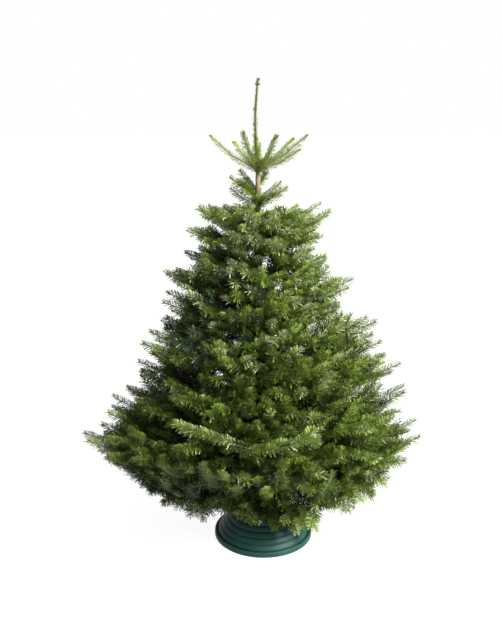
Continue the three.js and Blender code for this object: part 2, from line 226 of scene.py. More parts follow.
def grow(rng, pos, direction, up, growth, years, order, tier, lift, tint, needle=0.026):
    """A side branch: years of growth with side branches of its own at the end of each year but the last."""
    d = unit(direction)
    # twigs that would end in the crown's dark inside mostly die back
    far = pos + d * growth * years
    depth = reach(min(1.36, max(0.05, far[2])), math.atan2(far[1], far[0])) - math.hypot(far[0], far[1])
    last = None
    if tier != 9 and rng.random() < min(1.0, max(0.0, (depth - 0.110) / 0.10)) * (0.92 if order > 1 else 0.66) * (1.0 if far[2] > 0.5 else 0.45):
        return pos
    for y in range(years):
        age = years - 1 - y
        length = growth * rng.uniform(0.84, 1.14) * (1.04 if age == 0 else 1.0)
        d = turn(d, up, rng.uniform(-0.13, 0.13))
        room = min(1.0, max(0.0, 0.88 - d[2]) * 2.2) if lift > 0 else 1.0
        d = unit(d + UP * lift * rng.uniform(0.3, 1.25) * room + up * rng.uniform(-0.06, 0.06))
        end = pos + d * length
        if tier != 9 and beyond(end):
            length *= 0.6
            end = pos + d * length
            if beyond(end):
                if last:
                    last.end = True
                return pos
        low = lowest(end) + fringe(end)
        if end[2] < low:
            end[2] = low + 0.050 * rng.random() ** 2
            d = unit(end - pos)
        side = unit(cross(d, up))
        u = cross(side, d)
        length = math.sqrt(float((end - pos) @ (end - pos)))
        bend = u * length * rng.uniform(-0.035, 0.015) * (1 if lift > 0 else -1) + side * length * rng.uniform(-0.03, 0.03)
        r0 = 0.0013 + 0.0008 * (age + 1) * (1.25 if order < 2 else 1.0)
        last = Shoot(pos, end, bend, u, age, order, tier, r0, r0 - 0.0006, age == 0, tint, radial=0.40 if order < 2 and age == 0 else 0.25, dense=DENSE[age] * (1.0 if age else 1.35 if reach(min(1.36, max(0.05, end[2])), math.atan2(end[1], end[0])) - math.hypot(end[0], end[1]) < 0.05 else 1.02), needle=needle * rng.uniform(0.94, 1.05))
        SHOOTS.append(last)
        if age >= 1 and order < 2:
            side_branches(rng, pos, end, d, u, growth, age, order, tier, lift, tint, needle)
        pos, up = end, u
    return pos


def side_branches(rng, start, end, d, u, growth, age, order, tier, lift, tint, needle):
    """Two branches at a node, left and right, at times a third above it, and short ones halfway along the year's growth."""
    for s in (-1, 1):
        angle = math.radians(rng.uniform(38, 58)) * s
        own = min(1.0, max(0.0, tint + rng.uniform(-0.22, 0.22)))
        if rng.random() > 0.05:
            away = turn(turn(d, u, angle), d, rng.uniform(-0.34, 0.34))
            years = age if order < 1 else min(age, 2)
            grow(rng, end, away, u, growth * rng.uniform(0.86, 1.02), years, order + 1, tier, lift, own, needle)
        if rng.random() < (0.26, 0.04, 0.0)[min(order, 2)] * (1.0 if end[2] < 1.0 else 0.3) and age >= 1:
            mid = start + (end - start) * rng.uniform(0.3, 0.72)
            grow(rng, mid, turn(d, u, angle * rng.uniform(0.9, 1.3)), u, growth * rng.uniform(0.60, 0.82), min(age, 1 + (order < 1)), order + 2, tier, lift, own, needle)
    if rng.random() < (0.66, 0.26, 0.0)[min(order, 2)] * (1.0 if lift > 0.1 else 0.4) * (1.0 if end[2] < 1.0 else 0.6):
        # painted light: the branch that rises above the node takes a slightly lighter tint, as lit from above
        away = turn(unit(d * 0.9 + u * rng.uniform(0.45, 1.0)), d, rng.uniform(-0.6, 0.6))
        grow(rng, end, away, unit(u - d * 0.5), growth * rng.uniform(0.74, 0.94), min(age, 1 + (order < 1)), order + 2, tier, lift, min(1.0, tint + 0.10), needle)


def bough(rng, tier, z0, azimuth, z1, out, years, bare, tint, slope_end, needle=None, growth_scale=1.0):
    """A main bough from the trunk: a curve in a vertical plane, with side branches at each year's node."""
    needle = needle or float(np.interp(z1, [0.1, 0.9, 1.3], [0.0285, 0.0285, 0.0265]))
    base = axis_at(z0)
    far = axis_at(z1)
    rise = (z1 - z0) / out
    m0 = max(min(2 * rise - slope_end, 0.9), -0.75)
    r_in = trunk_radius(z0) * 0.4
    sway = 0.045 * math.sin(azimuth * 5 + z1 * 9)

    def at(s):
        r = r_in + (out - r_in) * s
        z = z0 + (m0 * s + (rise - m0) * s * s) * out
        swing = sway * out * s * (1 - s) * 3
        cx, cy = base[0] + (far[0] - base[0]) * s, base[1] + (far[1] - base[1]) * s
        p = np.array([cx + r * math.cos(azimuth) - swing * math.sin(azimuth), cy + r * math.sin(azimuth) + swing * math.cos(azimuth), z])
        if s > 0.45:
            p[2] = max(p[2], lowest(p))
        return p

    first = max(bare, trunk_radius(z0) + 0.022) / out
    marks = [0.0, first]
    rest = [rng.uniform(0.9, 1.1) for _ in range(years)]
    rest[-1] *= 1.08
    total = sum(rest)
    for r in rest:
        marks.append(marks[-1] + (1 - first) * r / total)
    points = [at(s) for s in marks]
    wood = []
    r_base = 0.0022 + 0.0012 * years + 0.0020 * (out > 0.4)
    lift = lift_at(z1)
    roll = rng.uniform(-0.50, 0.50)
    for k in range(len(points) - 1):
        a, b = points[k], points[k + 1]
        d = unit(b - a)
        side = unit(cross(d, UP))
        u = turn(unit(cross(side, d)), d, roll)
        mid = at((marks[k] + marks[k + 1]) / 2)
        bend = mid - (a + b) / 2
        age = len(points) - 2 - k
        r0 = r_base + (0.0017 - r_base) * marks[k] ** 0.8
        r1 = r_base + (0.0017 - r_base) * marks[k + 1] ** 0.8
        if age >= 1:
            wood.append((a, bend, b, r0, r1))
        if k > 0 or not bare:
            SHOOTS.append(Shoot(a, b, bend, u, age, 0, tier, r0, r1, age == 0, tint, radial=0.55 if age == 0 else 0.25, dense=DENSE[min(age, 4)] * (0.3 if k == 0 else 1) * (1.5 if age == 0 else 1), needle=needle * (0.92 if age == 0 else 1)))
        if age >= 1:
            growth = (1 - first) * out / years * rng.uniform(0.88, 1.06) * growth_scale
            if k > 0:
                side_branches(rng, a, b, d, u, growth, age, 0, tier, lift, tint, needle)
            elif years > 2 or rng.random() < 0.35:
                side_branches(rng, a, b, d, u, growth * 0.9, min(age, 2), 0, tier, lift, tint, needle)
    BOUGHS.append((tier, wood))


def years_for(out):
    return 4 if out > 0.57 else 3 if out > 0.34 else 2


TIER_TIPS = [0.192, 0.342, 0.482, 0.627, 0.776, 0.930, 1.070, 1.220]


def crown():
    rng = random.Random(23)
    heights = [t[1] for t in TIERS] + [1.33]
    tips = [t[2] for t in TIERS] + [1.365]

    # three boughs fan out to each tier's tips at the left and at the right
    for n, (left_z, _, right_z, _, rise) in enumerate(CROWN):
        for side, tip_z in ((180, left_z), (0, right_z)):
            for m in (-1, 0, 1):
                azimuth = math.radians(side + 16 * m + (5 if n % 2 else -5) + rng.uniform(-4, 4))
                z1 = tip_z + (rng.uniform(-0.022, 0.022) if m else rng.uniform(-0.004, 0.004))
                out = from_axis(z1, azimuth) * (rng.uniform(0.94, 1.0) if m else 1.0) + 0.004
                z1 = max(z1, lowest(polar(azimuth, out, z1)))
                tier = sum(z1 > h for h in TIER_TIPS)
                want = z1 - out * (0.36 if z1 > 0.9 else 0.26 if z1 > 0.5 else 0.08)
                z0 = max(0.215, min(WHORLS, key=lambda w: abs(w - want)) + rng.uniform(-0.018, 0.018))
                bough(rng, tier, z0, azimuth, z1, out, years_for(out), (0.0 if tier > 2 else 0.12), rng.random(), rise + rng.uniform(-0.14, 0.20), growth_scale=0.92)

    # the whorls of the CAD's bare boughs, and the rest of the crown
    counts = [(5, 4), (4, 4), (4, 4), (4, 4), (4, 4), (4, 5), (4, 5), (4, 4), (5, 4)]
    for t, (name, z, tip, n, first, inner, bow) in enumerate(TIERS):
        for half in (0, 1):
            count = counts[t][half]
            for m in range(count):
                azimuth = math.radians(first + m * 360 / count + (180 / count if half else 0) + rng.uniform(-9, 9) * (1 if half or t > 2 else 0.15))
                fixed = half == 0 and t < 3
                # the sides seen from the front are the outline's own boughs
                if not fixed and abs(math.cos(azimuth)) > 0.90:
                    azimuth += 0.40 * (1 if math.sin(azimuth) * math.cos(azimuth) > 0 else -1)
                z1 = tip + (tips[t + 1] - tip) * (0.5 if half else 0) + rng.uniform(-0.04, 0.04)
                z1 = min(max(z1, 0.085), 1.365)
                if OPENING[0] < z1 < OPENING[1] and abs(azimuth % math.tau - math.radians(275)) < math.radians(OPENING[2]):
                    azimuth += math.radians(30)
                ahead = max(0.0, -math.sin(azimuth)) ** 2
                if t < len(FRONT):
                    z1 += FRONT[t][0] * ahead
                z1 = min(z1, CROWN_TOP - CROWN_TILT * 0.25 * math.sin(azimuth))
                out = from_axis(z1, azimuth) * rng.uniform(0.90, 0.98)
                # nothing hangs in front of the stand's foot
                z1 = max(z1, 0.085 + 0.46 * max(0.0, -out * math.sin(azimuth)))
                if fixed:
                    z0 = z
                elif z1 < 0.5:
                    z0 = max(0.215, z + (heights[t + 1] - z) * rng.uniform(0.2, 0.7))
                else:
                    want = z1 - out * (0.34 if z1 > 0.9 else 0.26)
                    z0 = min(WHORLS, key=lambda w: abs(w - want)) + rng.uniform(-0.02, 0.02)
                years = years_for(out)
                slope = float(np.interp(z1, [0.08, 0.18, 0.30, 0.45, 0.62, 1.3], [-0.75, -0.45, 0.05, 0.36, 0.55, 0.62])) + rng.uniform(-0.18, 0.22)
                bough(rng, t, z0, azimuth, z1, out, years, inner * (1.0 if fixed else 0.8), rng.random(), slope)

    # front boughs that close the crown before the trunk, but for the opening where it shows
    for n in range(18):
        for m in (-1, 1, -2, 2) if n % 2 and n < 12 else (-1, 1, 1, -1) if n in (15, 16) else (-1, 1) if n < 11 or n % 2 else (1,):
            z1 = min(1.354, 0.450 + 0.054 * n + rng.uniform(-0.014, 0.014))
            off = rng.uniform(2, 22) if abs(m) == 1 else rng.uniform(30, 54)
            if OPENING[0] < z1 < OPENING[1]:
                off += OPENING[2] * (1.5 if m > 0 else 0.3)
            azimuth = math.radians(270 + math.copysign(off, m))
            out = reach(z1, azimuth) * rng.uniform(0.90, 0.99)
            tier = sum(z1 > h for h in TIER_TIPS)
            z0 = max(0.215, min(WHORLS, key=lambda w: abs(w - (z1 - out * 0.24))) + rng.uniform(-0.015, 0.015))
            slope = float(np.interp(z1, [0.4, 0.7, 1.3, 1.35], [0.10, 0.55, 0.55, 0.30])) + rng.uniform(-0.18, 0.18)
            bough(rng, tier, z0, azimuth, z1, out, years_for(out), 0.10 if tier < 3 else 0.0, rng.uniform(0.3, 0.9), slope)

    # before the trunk at half height
    for n in range(5):
        z1 = 0.690 + 0.060 * n + rng.uniform(-0.01, 0.01)
        azimuth = math.radians(272 + 7 * (n % 2) + rng.uniform(-3, 3))
        out = reach(z1, azimuth) * rng.uniform(0.66, 0.80)
        bough(rng, sum(z1 > h for h in TIER_TIPS), z1 - out * 0.30, azimuth, z1, out, 2, 0.0, rng.uniform(0.2, 0.7), 0.4)

    # low front: two long light branches that fork from one bough, left and right
    hub, z0 = np.array([-0.054, -0.470, 0.593]), 0.500
    start = axis_at(z0) + polar(math.radians(265), 0.008, 0)
    mids = [start, start + (hub - start) * 0.45 + UP * -0.012, hub]
    wood = []
    for k in range(2):
        a, b = mids[k], mids[k + 1]
        d = unit(b - a)
        u = unit(cross(unit(cross(d, UP)), d))
        wood.append((a, np.zeros(3), b, 0.0085 - 0.0025 * k, 0.006 - 0.002 * k))
        SHOOTS.append(Shoot(a, b, np.zeros(3), u, 3 - k, 0, 3, 0.0085 - 0.0025 * k, 0.006 - 0.002 * k, False, 0.6, dense=0.3))
        side_branches(rng, a, b, d, u, 0.10, 2, 1, 3, 0.1, 0.5, 0.026)
    BOUGHS.append((3, wood))
    for line in (
        [hub, (-0.137, -0.500, 0.640), (-0.219, -0.500, 0.668), (-0.304, -0.460, 0.682)],
        [hub, (0.031, -0.500, 0.607), (0.100, -0.500, 0.625), (0.162, -0.460, 0.658)],
    ):
        pts = [np.array(p, float) for p in line]
        for k in range(len(pts) - 1):
            a, b = pts[k], pts[k + 1]
            d = unit(b - a)
            u = turn(unit(cross(unit(cross(d, UP)), d)), d, 0.0)
            age = len(pts) - 2 - k
            SHOOTS.append(Shoot(a, b, u * -0.004, u, 0, 1, 3, 0.0036 - 0.0006 * k, 0.003 - 0.0006 * k, age == 0, 0.56, needle=0.026, dense=1.4, radial=0.40))
            for s in (-1, 1):
                if rng.random() < 0.45:
                    grow(rng, a if k else a + (b - a) * 0.6, turn(d, u, s * math.radians(rng.uniform(34, 48))), u, 0.062, 1, 2, 3, 0.10, rng.uniform(0.45, 0.7))

    # low front: sprays that hang over the stand's front
    for n in range(-3, 7):
        azimuth = 262 + 9.6 * n + rng.uniform(-2, 2)
        out = (0.190 if n % 2 else 0.225) + 0.0007 * (azimuth - 262)
        bough(rng, 0, 0.226 + rng.uniform(-0.006, 0.02), math.radians(azimuth), 0.174 - 0.0012 * (azimuth - 262), out, 2, 0.06, rng.uniform(0.36, 0.70), -0.40 - 0.010 * (azimuth - 262), growth_scale=0.78, needle=0.026)
    for n in range(3):
        bough(rng, 0, 0.222, math.radians(200 + 13 * n), 0.158 + 0.010 * n, 0.185, 2, 0.06, rng.uniform(0.3, 0.6), -0.35, growth_scale=0.72, needle=0.026)

    # two shorter boughs that close the crown left of the trunk
    for azimuth, z1, out in ((234, 0.785, 0.36), (246, 0.900, 0.33)):
        bough(rng, sum(z1 > h for h in TIER_TIPS), z1 - out * 0.30, math.radians(azimuth), z1, out, 2, 0.0, rng.uniform(0.3, 0.6), 0.45)

    # boughs that close the back behind the trunk
    for n in range(6):
        z1 = 0.600 + 0.088 * n + rng.uniform(-0.01, 0.01)
        azimuth = math.radians(84 + 12 * (n % 2) + rng.uniform(-3, 3))
        out = reach(z1, azimuth) * rng.uniform(0.66, 0.80)
        bough(rng, sum(z1 > h for h in TIER_TIPS), z1 - out * 0.30, azimuth, z1, out, 2, 0.0, rng.uniform(0.2, 0.7), 0.4)


def top():
    """The leader, the whorl of single shoots below it, and the tuft."""
    rng = random.Random(5)
    base = axis_at(1.480)
    for azimuth, out, z1 in WHORL:
        az = math.radians(azimuth)
        a = base + polar(az, 0.004, 0) + UP * rng.uniform(-0.006, 0.006)
        b = axis_at(z1) + polar(az, out, 0)
        d = unit(b - a)
        u = unit(cross(unit(cross(d, UP)), d))
        length = math.sqrt(float((b - a) @ (b - a)))
        SHOOTS.append(Shoot(a, b, u * length * -0.055, u, 0, 0, 9, 0.0031, 0.0022, True, rng.uniform(0.55, 1.0), radial=0.90, needle=0.0175, dense=1.9, spread=0.98, young=True))
    for azimuth, out, z0, z1 in TUFT:
        az = math.radians(azimuth)
        a = axis_at(z0) + polar(az, 0.006, 0)
        b = axis_at(z1) + polar(az, out, 0)
        d = unit(b - a)
        u = unit(cross(unit(cross(d, UP)), d))
        length = math.sqrt(float((b - a) @ (b - a)))
        SHOOTS.append(Shoot(a, b, u * length * -0.05, u, 0, 0, 9, 0.0026, 0.0018, True, rng.uniform(0.2, 0.8), radial=0.85, needle=0.0225, dense=2.2, spread=0.98, young=True))
        if out > 0.10:
            for s in (-1, 1):
                grow(rng, a + (b - a) * 0.42, turn(d, u, s * 0.75), u, 0.040, 1, 3, 9, 0.1, 0.5, 0.019)
    # the leader: long upswept needles at its foot, then fewer and shorter ones
    steps = [(1.490, 1.520, 0.0190, 3.0, 0.88), (1.520, 1.560, 0.0150, 2.2, 0.84), (1.560, 1.610, 0.0115, 1.3, 0.86), (1.610, 1.665, 0.0095, 0.7, 0.90), (1.665, 1.715, 0.0085, 0.5, 0.92), (1.715, 1.772, 0.0080, 0.45, 0.90), (1.776, 1.797, 0.0070, 1.3, 0.55)]
    for k, (z0, z1, needle, dense, spread) in enumerate(steps):
        a, b = axis_at(z0), axis_at(z1)
        SHOOTS.append(Shoot(a, b, np.zeros(3), np.array([0.0, -1.0, 0.0]), 0, 0, 9, trunk_radius(z0), trunk_radius(z1), False, 0.9, radial=1.0, needle=needle, dense=dense, spread=spread, young=True))


crown()
top()
print("shoots", len(SHOOTS), "boughs", len(BOUGHS))


# ---------------------------------------------------------------- meshes from arrays
def mesh_object(name, verts, faces, smooth=False, material_index=None, materials=()):
    """faces is an (n, 3) or (n, 4) array of vertex numbers, or a list of such arrays."""
    lists = faces if isinstance(faces, list) else [faces]
    lists = [f for f in lists if len(f)]
    loops = np.concatenate([f.reshape(-1) for f in lists]).astype(np.int32)
    totals = np.concatenate([np.full(len(f), f.shape[1], np.int32) for f in lists])
    starts = np.concatenate([[0], np.cumsum(totals)[:-1]]).astype(np.int32)
    me = bpy.data.meshes.new(name)
    me.vertices.add(len(verts))
    me.vertices.foreach_set("co", np.asarray(verts, np.float32).ravel())
    me.loops.add(len(loops))
    me.loops.foreach_set("vertex_index", loops)
    me.polygons.add(len(totals))
    me.polygons.foreach_set("loop_start", starts)
    me.polygons.foreach_set("loop_total", totals)
    for m in materials:
        me.materials.append(m)
    if material_index is not None:
        me.polygons.foreach_set("material_index", np.asarray(material_index, np.int32))
    me.polygons.foreach_set("use_smooth", np.full(len(totals), smooth, bool))
    me.update(calc_edges=True)
    me.validate()
    ob = bpy.data.objects.new(name, me)
    scene.collection.objects.link(ob)
    global TRIANGLES
    count = int(sum(len(f) * (f.shape[1] - 2) for f in lists))
    TRIANGLES += count
    print("%-22s %7d triangles" % (name, count))
    return ob


TRIANGLES = 0


def place(ob, replaced=()):
    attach(ob, "root")
    if replaced:
        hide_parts(*replaced)


def norm_rows(a):
    return a / np.maximum(np.linalg.norm(a, axis=1, keepdims=True), 1e-12)


# ---------------------------------------------------------------- needles
NEEDLE_W = 0.0026
PER_METRE = 1085  # needles to a metre of full shoot


def needles(shoots, seed, per_metre=PER_METRE):
    """The needles on these shoots, blunt flat blades with a twist: the four corners, the shoot of each, its turn from the top of the shoot and its place along it."""
    rs = np.random.RandomState(seed)
    p0 = np.array([s.p0 for s in shoots]); p1 = np.array([s.p1 for s in shoots])
    bend = np.array([s.bend for s in shoots]); up = np.array([s.up for s in shoots])
    length = np.linalg.norm(p1 - p0, axis=1)
    dense = np.array([s.dense for s in shoots]); radial = np.array([s.radial for s in shoots])
    nlen = np.array([s.needle for s in shoots]); rad = np.array([(s.r0 + s.r1) / 2 for s in shoots])
    end = np.array([1.0 if s.end else 0.0 for s in shoots]); spread = np.array([s.spread for s in shoots])
    count = np.maximum(3, (length * dense * per_metre).astype(int))
    who = np.repeat(np.arange(len(shoots)), count)
    k = np.arange(len(who)) - np.repeat(np.cumsum(count) - count, count)
    n = len(who)
    t = (k + rs.uniform(0.1, 0.9, n)) / count[who]
    L = length[who][:, None]
    axis = p0[who] + (p1 - p0)[who] * t[:, None] + bend[who] * (4 * t * (1 - t))[:, None]
    tang = norm_rows((p1 - p0)[who] / L + bend[who] / L * (4 * (1 - 2 * t))[:, None])
    u = norm_rows(up[who] - tang * np.sum(up[who] * tang, axis=1, keepdims=True))
    side = np.cross(tang, u)
    # round the shoot: a spiral, drawn up to the flanks and the top, or all round on an upright shoot
    spiral = (k * 0.61803398875 + rs.uniform(0, 0.03, n)) % 1.0 * 2 - 1
    flat = np.sign(spiral) * (np.abs(spiral) ** 0.92) * math.radians(120)
    full = spiral * math.pi
    th = np.where(rs.uniform(0, 1, n) < radial[who], full, flat) + rs.normal(0, 0.06, n)
    flank = np.minimum(1.0, np.abs(th) / math.radians(90))
    alpha = np.radians(48 + 16 * flank) + rs.normal(0, 0.07, n)
    tip_close = np.clip((t - 0.80) / 0.20, 0, 1) * end[who]
    alpha = alpha * (1 - 0.62 * tip_close) * spread[who]
    alpha = alpha * (1 + 0.15 * np.clip((0.2 - t) / 0.2, 0, 1))
    rd = u * np.cos(th)[:, None] + side * np.sin(th)[:, None]
    d = norm_rows(tang * np.cos(alpha)[:, None] + rd * np.sin(alpha)[:, None])
    ln = nlen[who] * (0.80 + 0.18 * flank) * rs.uniform(0.92, 1.06, n)
    ln = ln * (0.80 + 0.20 * np.clip(t / 0.18, 0, 1)) * (1 - 0.22 * tip_close)
    nrm = norm_rows(u * 0.8 + rd * 0.3 - 0.15 * tang)
    nrm = norm_rows(nrm - d * np.sum(nrm * d, axis=1, keepdims=True))
    w = np.cross(d, nrm)
    roll = rs.normal(0, 0.18, n)[:, None]
    nrm, w = nrm * np.cos(roll) + w * np.sin(roll), w * np.cos(roll) - nrm * np.sin(roll)
    base = axis + rd * (rad[who] * 0.8)[:, None]
    ln = ln[:, None]
    curl = rs.uniform(0.0, 0.12, n)[:, None]
    wide = np.array([0.85 if s.young else 1.0 if s.age == 0 else 1.30 for s in shoots])
    half = (NEEDLE_W / 2) * (rs.uniform(0.88, 1.12, n) * wide[who])[:, None]
    twist = (rs.uniform(0.25, 0.75, n) * np.sign(th))[:, None]
    w1 = w * np.cos(twist) + nrm * np.sin(twist)
    tip = base + d * ln + nrm * ln * curl * 0.5
    return base - w * half * 0.60, base + w * half * 0.60, tip + w1 * half, tip - w1 * half, who, th, t


BLADE = np.array([[0, 1, 2], [0, 2, 3]])


def plain(name, colour, roughness=0.5, specular=0.4):
    m = bpy.data.materials.new(name)
    m.use_nodes = True
    p = m.node_tree.nodes["Principled BSDF"]
    p.inputs["Base Color"].default_value = (*colour, 1)
    p.inputs["Roughness"].default_value = roughness
    p.inputs["Specular IOR Level"].default_value = specular
    m.diffuse_color = (*colour, 1)
    return m


NEEDLE_COLOURS = [
    ("needle_shade", (0.010, 0.018, 0.004), 0.46),
    ("needle_dark", (0.017, 0.031, 0.005), 0.44),
    ("needle_deep", (0.025, 0.044, 0.005), 0.42),
    ("needle_olive", (0.042, 0.058, 0.007), 0.42),
    ("needle_mid", (0.047, 0.078, 0.008), 0.40),
    ("needle_fresh", (0.088, 0.138, 0.016), 0.40),
    ("needle_lime", (0.160, 0.225, 0.034), 0.42),
    ("needle_pale", (0.262, 0.315, 0.150), 0.50),
    ("needle_yellow", (0.270, 0.250, 0.060), 0.50),
    ("needle_young", (0.235, 0.285, 0.055), 0.46),
    ("needle_blue", (0.020, 0.038, 0.019), 0.42),
]
NEEDLE_MATS = [plain(n, c, r, 0.30) for n, c, r in NEEDLE_COLOURS]
SHADE, DARK, DEEP, OLIVE, MID, FRESH, LIME, PALE, YELLOW, YOUNG, BLUE = range(11)


def tint_of(shoot, rng):
    """The colour number of a spray: the last year's growth is lighter than the years before, as old needles are darker,
    and the darkest of them, needle_shade, is painted shade for the crown's dark inside. Sprays higher in the crown and
    towards the right (+X) are painted lighter, as painted light from the key light above and to the right.
    """
    # painted light: the colour number rises with height above 0.62 m, steeply above 0.90 m, and towards the right (+X),
    # where the key light falls
    x = rng.random() * 0.50 + shoot.tint * 0.50 + max(-0.06, shoot.p1[2] - 0.62) * 0.30 + max(0.0, shoot.p1[2] - 0.90) * 1.10 + shoot.p1[0] * 0.27 - 0.04
    if not shoot.young and shoot.p1[2] > 0.85 and shoot.p1[0] < -0.02 and rng.random() < 0.26:
        return BLUE  # painted shade: dark bluish sprays on the upper crown's left (-X), the side away from the key light
    if shoot.young:
        table = ((0.30, LIME), (0.55, PALE), (1.1, YOUNG))
    elif shoot.age == 0:
        table = ((0.12, DARK), (0.30, DEEP), (0.42, OLIVE), (0.62, MID), (0.84, FRESH), (2.0, LIME))
    elif shoot.age == 1:
        table = ((0.16, SHADE), (0.44, DARK), (0.64, DEEP), (0.78, OLIVE), (0.98, MID), (2.0, FRESH))
    else:
        table = ((0.45, SHADE), (0.85, DARK), (2.0, DEEP))
    for limit, c in table:
        if x < limit:
            return c
    return MID


def needle_piece(name, shoots, seed, replaced):
    rng = random.Random(seed)
    rs = np.random.RandomState(seed + 1)
    c0, c1, c2, c3, who, th, t = needles(shoots, seed)
    tint = np.array([tint_of(s, rng) for s in shoots])[who]
    young = np.array([s.young for s in shoots])[who]
    mix = rs.uniform(0, 1, len(th))
    above = np.where(mix < 0.20, MID, np.where(mix < 0.46, FRESH, np.where(mix < 0.76, LIME, YOUNG)))
    below = np.where(mix < 0.30, FRESH, np.where(mix < 0.62, LIME, np.where(mix < 0.66, PALE, YOUNG)))
    tint = np.where(young, np.where(np.abs(th) < math.radians(95), above, below), tint)
    age = np.array([s.age for s in shoots])[who]
    # painted light and shade: on last year's shoots the needles on the top of the outer part are a step lighter, as lit
    # from above; needles at a shoot's foot and below it are a step darker, as painted shade; a few more are darker at
    # random
    jump = rs.uniform(0, 1, len(th))
    painted_light_on_top = (age == 0) & (t > 0.58) & (np.abs(th) < math.radians(100)) & (jump < 0.70)
    painted_shade_and_random_dark = ((t < 0.40) & (jump > 0.35)) | ((np.abs(th) > math.radians(84)) & (jump > 0.25)) | (jump > 0.90)
    tint = np.where(painted_light_on_top & (tint < LIME), tint + 1, np.where(painted_shade_and_random_dark & ~painted_light_on_top & (tint > SHADE) & (tint < PALE), tint - 1, tint))
    # painted highlights: needles at the ends of last year's shoots turn pale (some lime below 0.85 m), more often on
    # shoots high in the crown and towards the right (+X), where the key light falls, and a few anywhere at random as
    # painted glints
    high = np.array([s.p1[2] for s in shoots])[who]
    right = np.array([s.p1[0] for s in shoots])[who]
    lit_chance = [0.10 + 0.42 * min(1.0, max(0.0, s.p1[2] - 0.45)) + 0.80 * max(0.0, s.p1[2] - 0.95) + 0.30 * min(0.5, max(-0.2, s.p1[0])) for s in shoots]
    tip_highlight = np.array([0.66 if rng.random() < b else 0.03 for b in lit_chance])[who] * np.clip((t - 0.55) / 0.25, 0, 1)
    painted_highlight = (rs.uniform(0, 1, len(th)) < 0.02 + tip_highlight) & (age < 1) & ~young
    tint = np.where(painted_highlight, np.where((high > 0.85) | (mix < 0.70), PALE, LIME), tint)
    v = np.stack([c0, c1, c2, c3], axis=1).reshape(-1, 3)
    f = (BLADE[None] + (np.arange(len(who)) * 4)[:, None, None]).reshape(-1, 3)
    ob = mesh_object(name, v, f, material_index=np.repeat(tint, 2), materials=NEEDLE_MATS)
    place(ob, replaced)
    return len(who)


total = 0
for t, row in enumerate(TIERS):
    mine = [s for s in SHOOTS if s.tier == t]
    nodes = sorted(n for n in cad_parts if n.startswith(row[0] + "_mass"))
    total += needle_piece("needles_" + row[0], mine, 100 + t, nodes)
mine = [s for s in SHOOTS if s.tier == 9]
total += needle_piece("needles_top", mine, 110, sorted(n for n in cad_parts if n.startswith("top_shoot") or n == "tuft"))
print("needles", total, "full length", sum(np.linalg.norm(s.p1 - s.p0) * s.dense for s in SHOOTS))


# ---------------------------------------------------------------- twigs and buds
def tubes(segments, sides):
    """segments: arrays p0, bend, p1 (n, 3) and r0, r1 (n,). Returns vertices and quads."""
    p0, bend, p1, r0, r1 = segments
    n = len(p0)
    ts = np.array([0.0, 0.5, 1.0])
    d = norm_rows(p1 - p0)
    ref = np.where(np.abs(d[:, 2:3]) > 0.9, np.array([[1.0, 0, 0]]), np.array([[0, 0, 1.0]]))
    s = norm_rows(np.cross(d, ref)); u = np.cross(s, d)
    ang = np.arange(sides) * 2 * math.pi / sides
    rings = []
    for t in ts:
        c = p0 + (p1 - p0) * t + bend * 4 * t * (1 - t)
        r = (r0 + (r1 - r0) * t)[:, None, None]
        rings.append(c[:, None, :] + r * (s[:, None, :] * np.cos(ang)[None, :, None] + u[:, None, :] * np.sin(ang)[None, :, None]))
    v = np.stack(rings, axis=1)  # n, 3, sides, 3
    k = len(ts)
    base = (np.arange(n) * k * sides)[:, None, None]
    i = np.arange(k - 1)[None, :, None] * sides
    j = np.arange(sides)[None, None, :]
    j2 = (j + 1) % sides
    q = np.stack([base + i + j, base + i + j2, base + i + sides + j2, base + i + sides + j], axis=-1).reshape(-1, 4)
    return v.reshape(-1, 3), q


def stack_parts(parts):
    """Joins (vertices, faces, material number) parts into one list of vertices, faces and numbers."""
    verts, faces, index, at = [], [], [], 0
    for v, f, m in parts:
        verts.append(v); faces.append(f + at); at += len(v)
        index.append(np.full(len(f), m) if np.isscalar(m) else m)
    return np.concatenate(verts), faces, np.concatenate(index)


TWIG_MATS = [
    plain("twig_young", (0.060, 0.078, 0.018), 0.62, 0.3),
    plain("twig_brown", (0.046, 0.042, 0.018), 0.72, 0.3),
    plain("twig_grey", (0.060, 0.047, 0.034), 0.82, 0.25),
    plain("twig_green", (0.120, 0.130, 0.034), 0.58, 0.3),
]


def twig_piece():
    parts = []
    groups = (
        (0, 3, [s for s in SHOOTS if s.age == 0 and s.tier != 9]),
        (1, 4, [s for s in SHOOTS if s.age == 1 and s.tier != 9]),
        (2, 5, [s for s in SHOOTS if s.age > 1 and s.order > 0 and s.tier != 9]),
        (3, 6, [s for s in SHOOTS if s.tier == 9 and s.radial < 1]),
    )
    for m, sides, mine in groups:
        v, q = tubes([np.array([getattr(s, a) for s in mine]) for a in ("p0", "bend", "p1", "r0", "r1")], sides)
        parts.append((v, q, m))
    v, f, index = stack_parts(parts)
    ob = mesh_object("twigs", v, f, smooth=True, material_index=index, materials=TWIG_MATS)
    place(ob)


twig_piece()

BUD_MATS = [plain("bud_brown", (0.050, 0.048, 0.016), 0.5, 0.4), plain("bud_tan", (0.074, 0.078, 0.024), 0.5, 0.4)]


